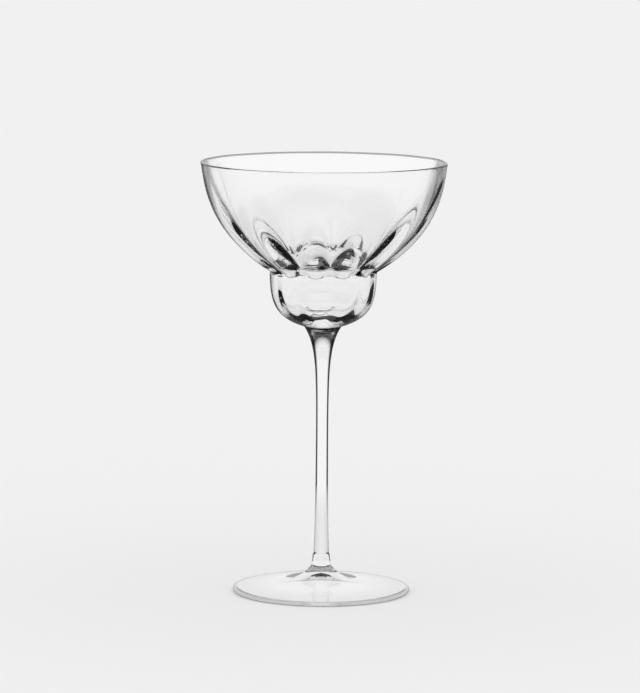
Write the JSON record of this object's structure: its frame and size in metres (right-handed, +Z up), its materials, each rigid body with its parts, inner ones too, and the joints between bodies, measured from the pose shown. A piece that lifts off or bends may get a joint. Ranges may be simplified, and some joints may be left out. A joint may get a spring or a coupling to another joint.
{
  "type": "margarita glass",
  "caption": "Clear stemmed margarita glass: a wide fluted coupe over a small round well, on a slim flared stem and a flat round foot.",
  "frame": {"origin": "centre of the flat ring under the foot, on the table", "axes": "+Z up along the stem's axis, towards the rim; -Y is the front, the side that the picture shows"},
  "size_m": [0.1096, 0.1096, 0.193],
  "materials": {
    "bowl_glass": "clear, fire-polished",
    "stem_glass": "clear, fire-polished",
    "foot_glass": "clear, fire-polished"
  },
  "bodies": {
    "root": {"bowl": "bowl_glass", "stem": "stem_glass", "foot": "foot_glass"}
  },
  "joints": []
}
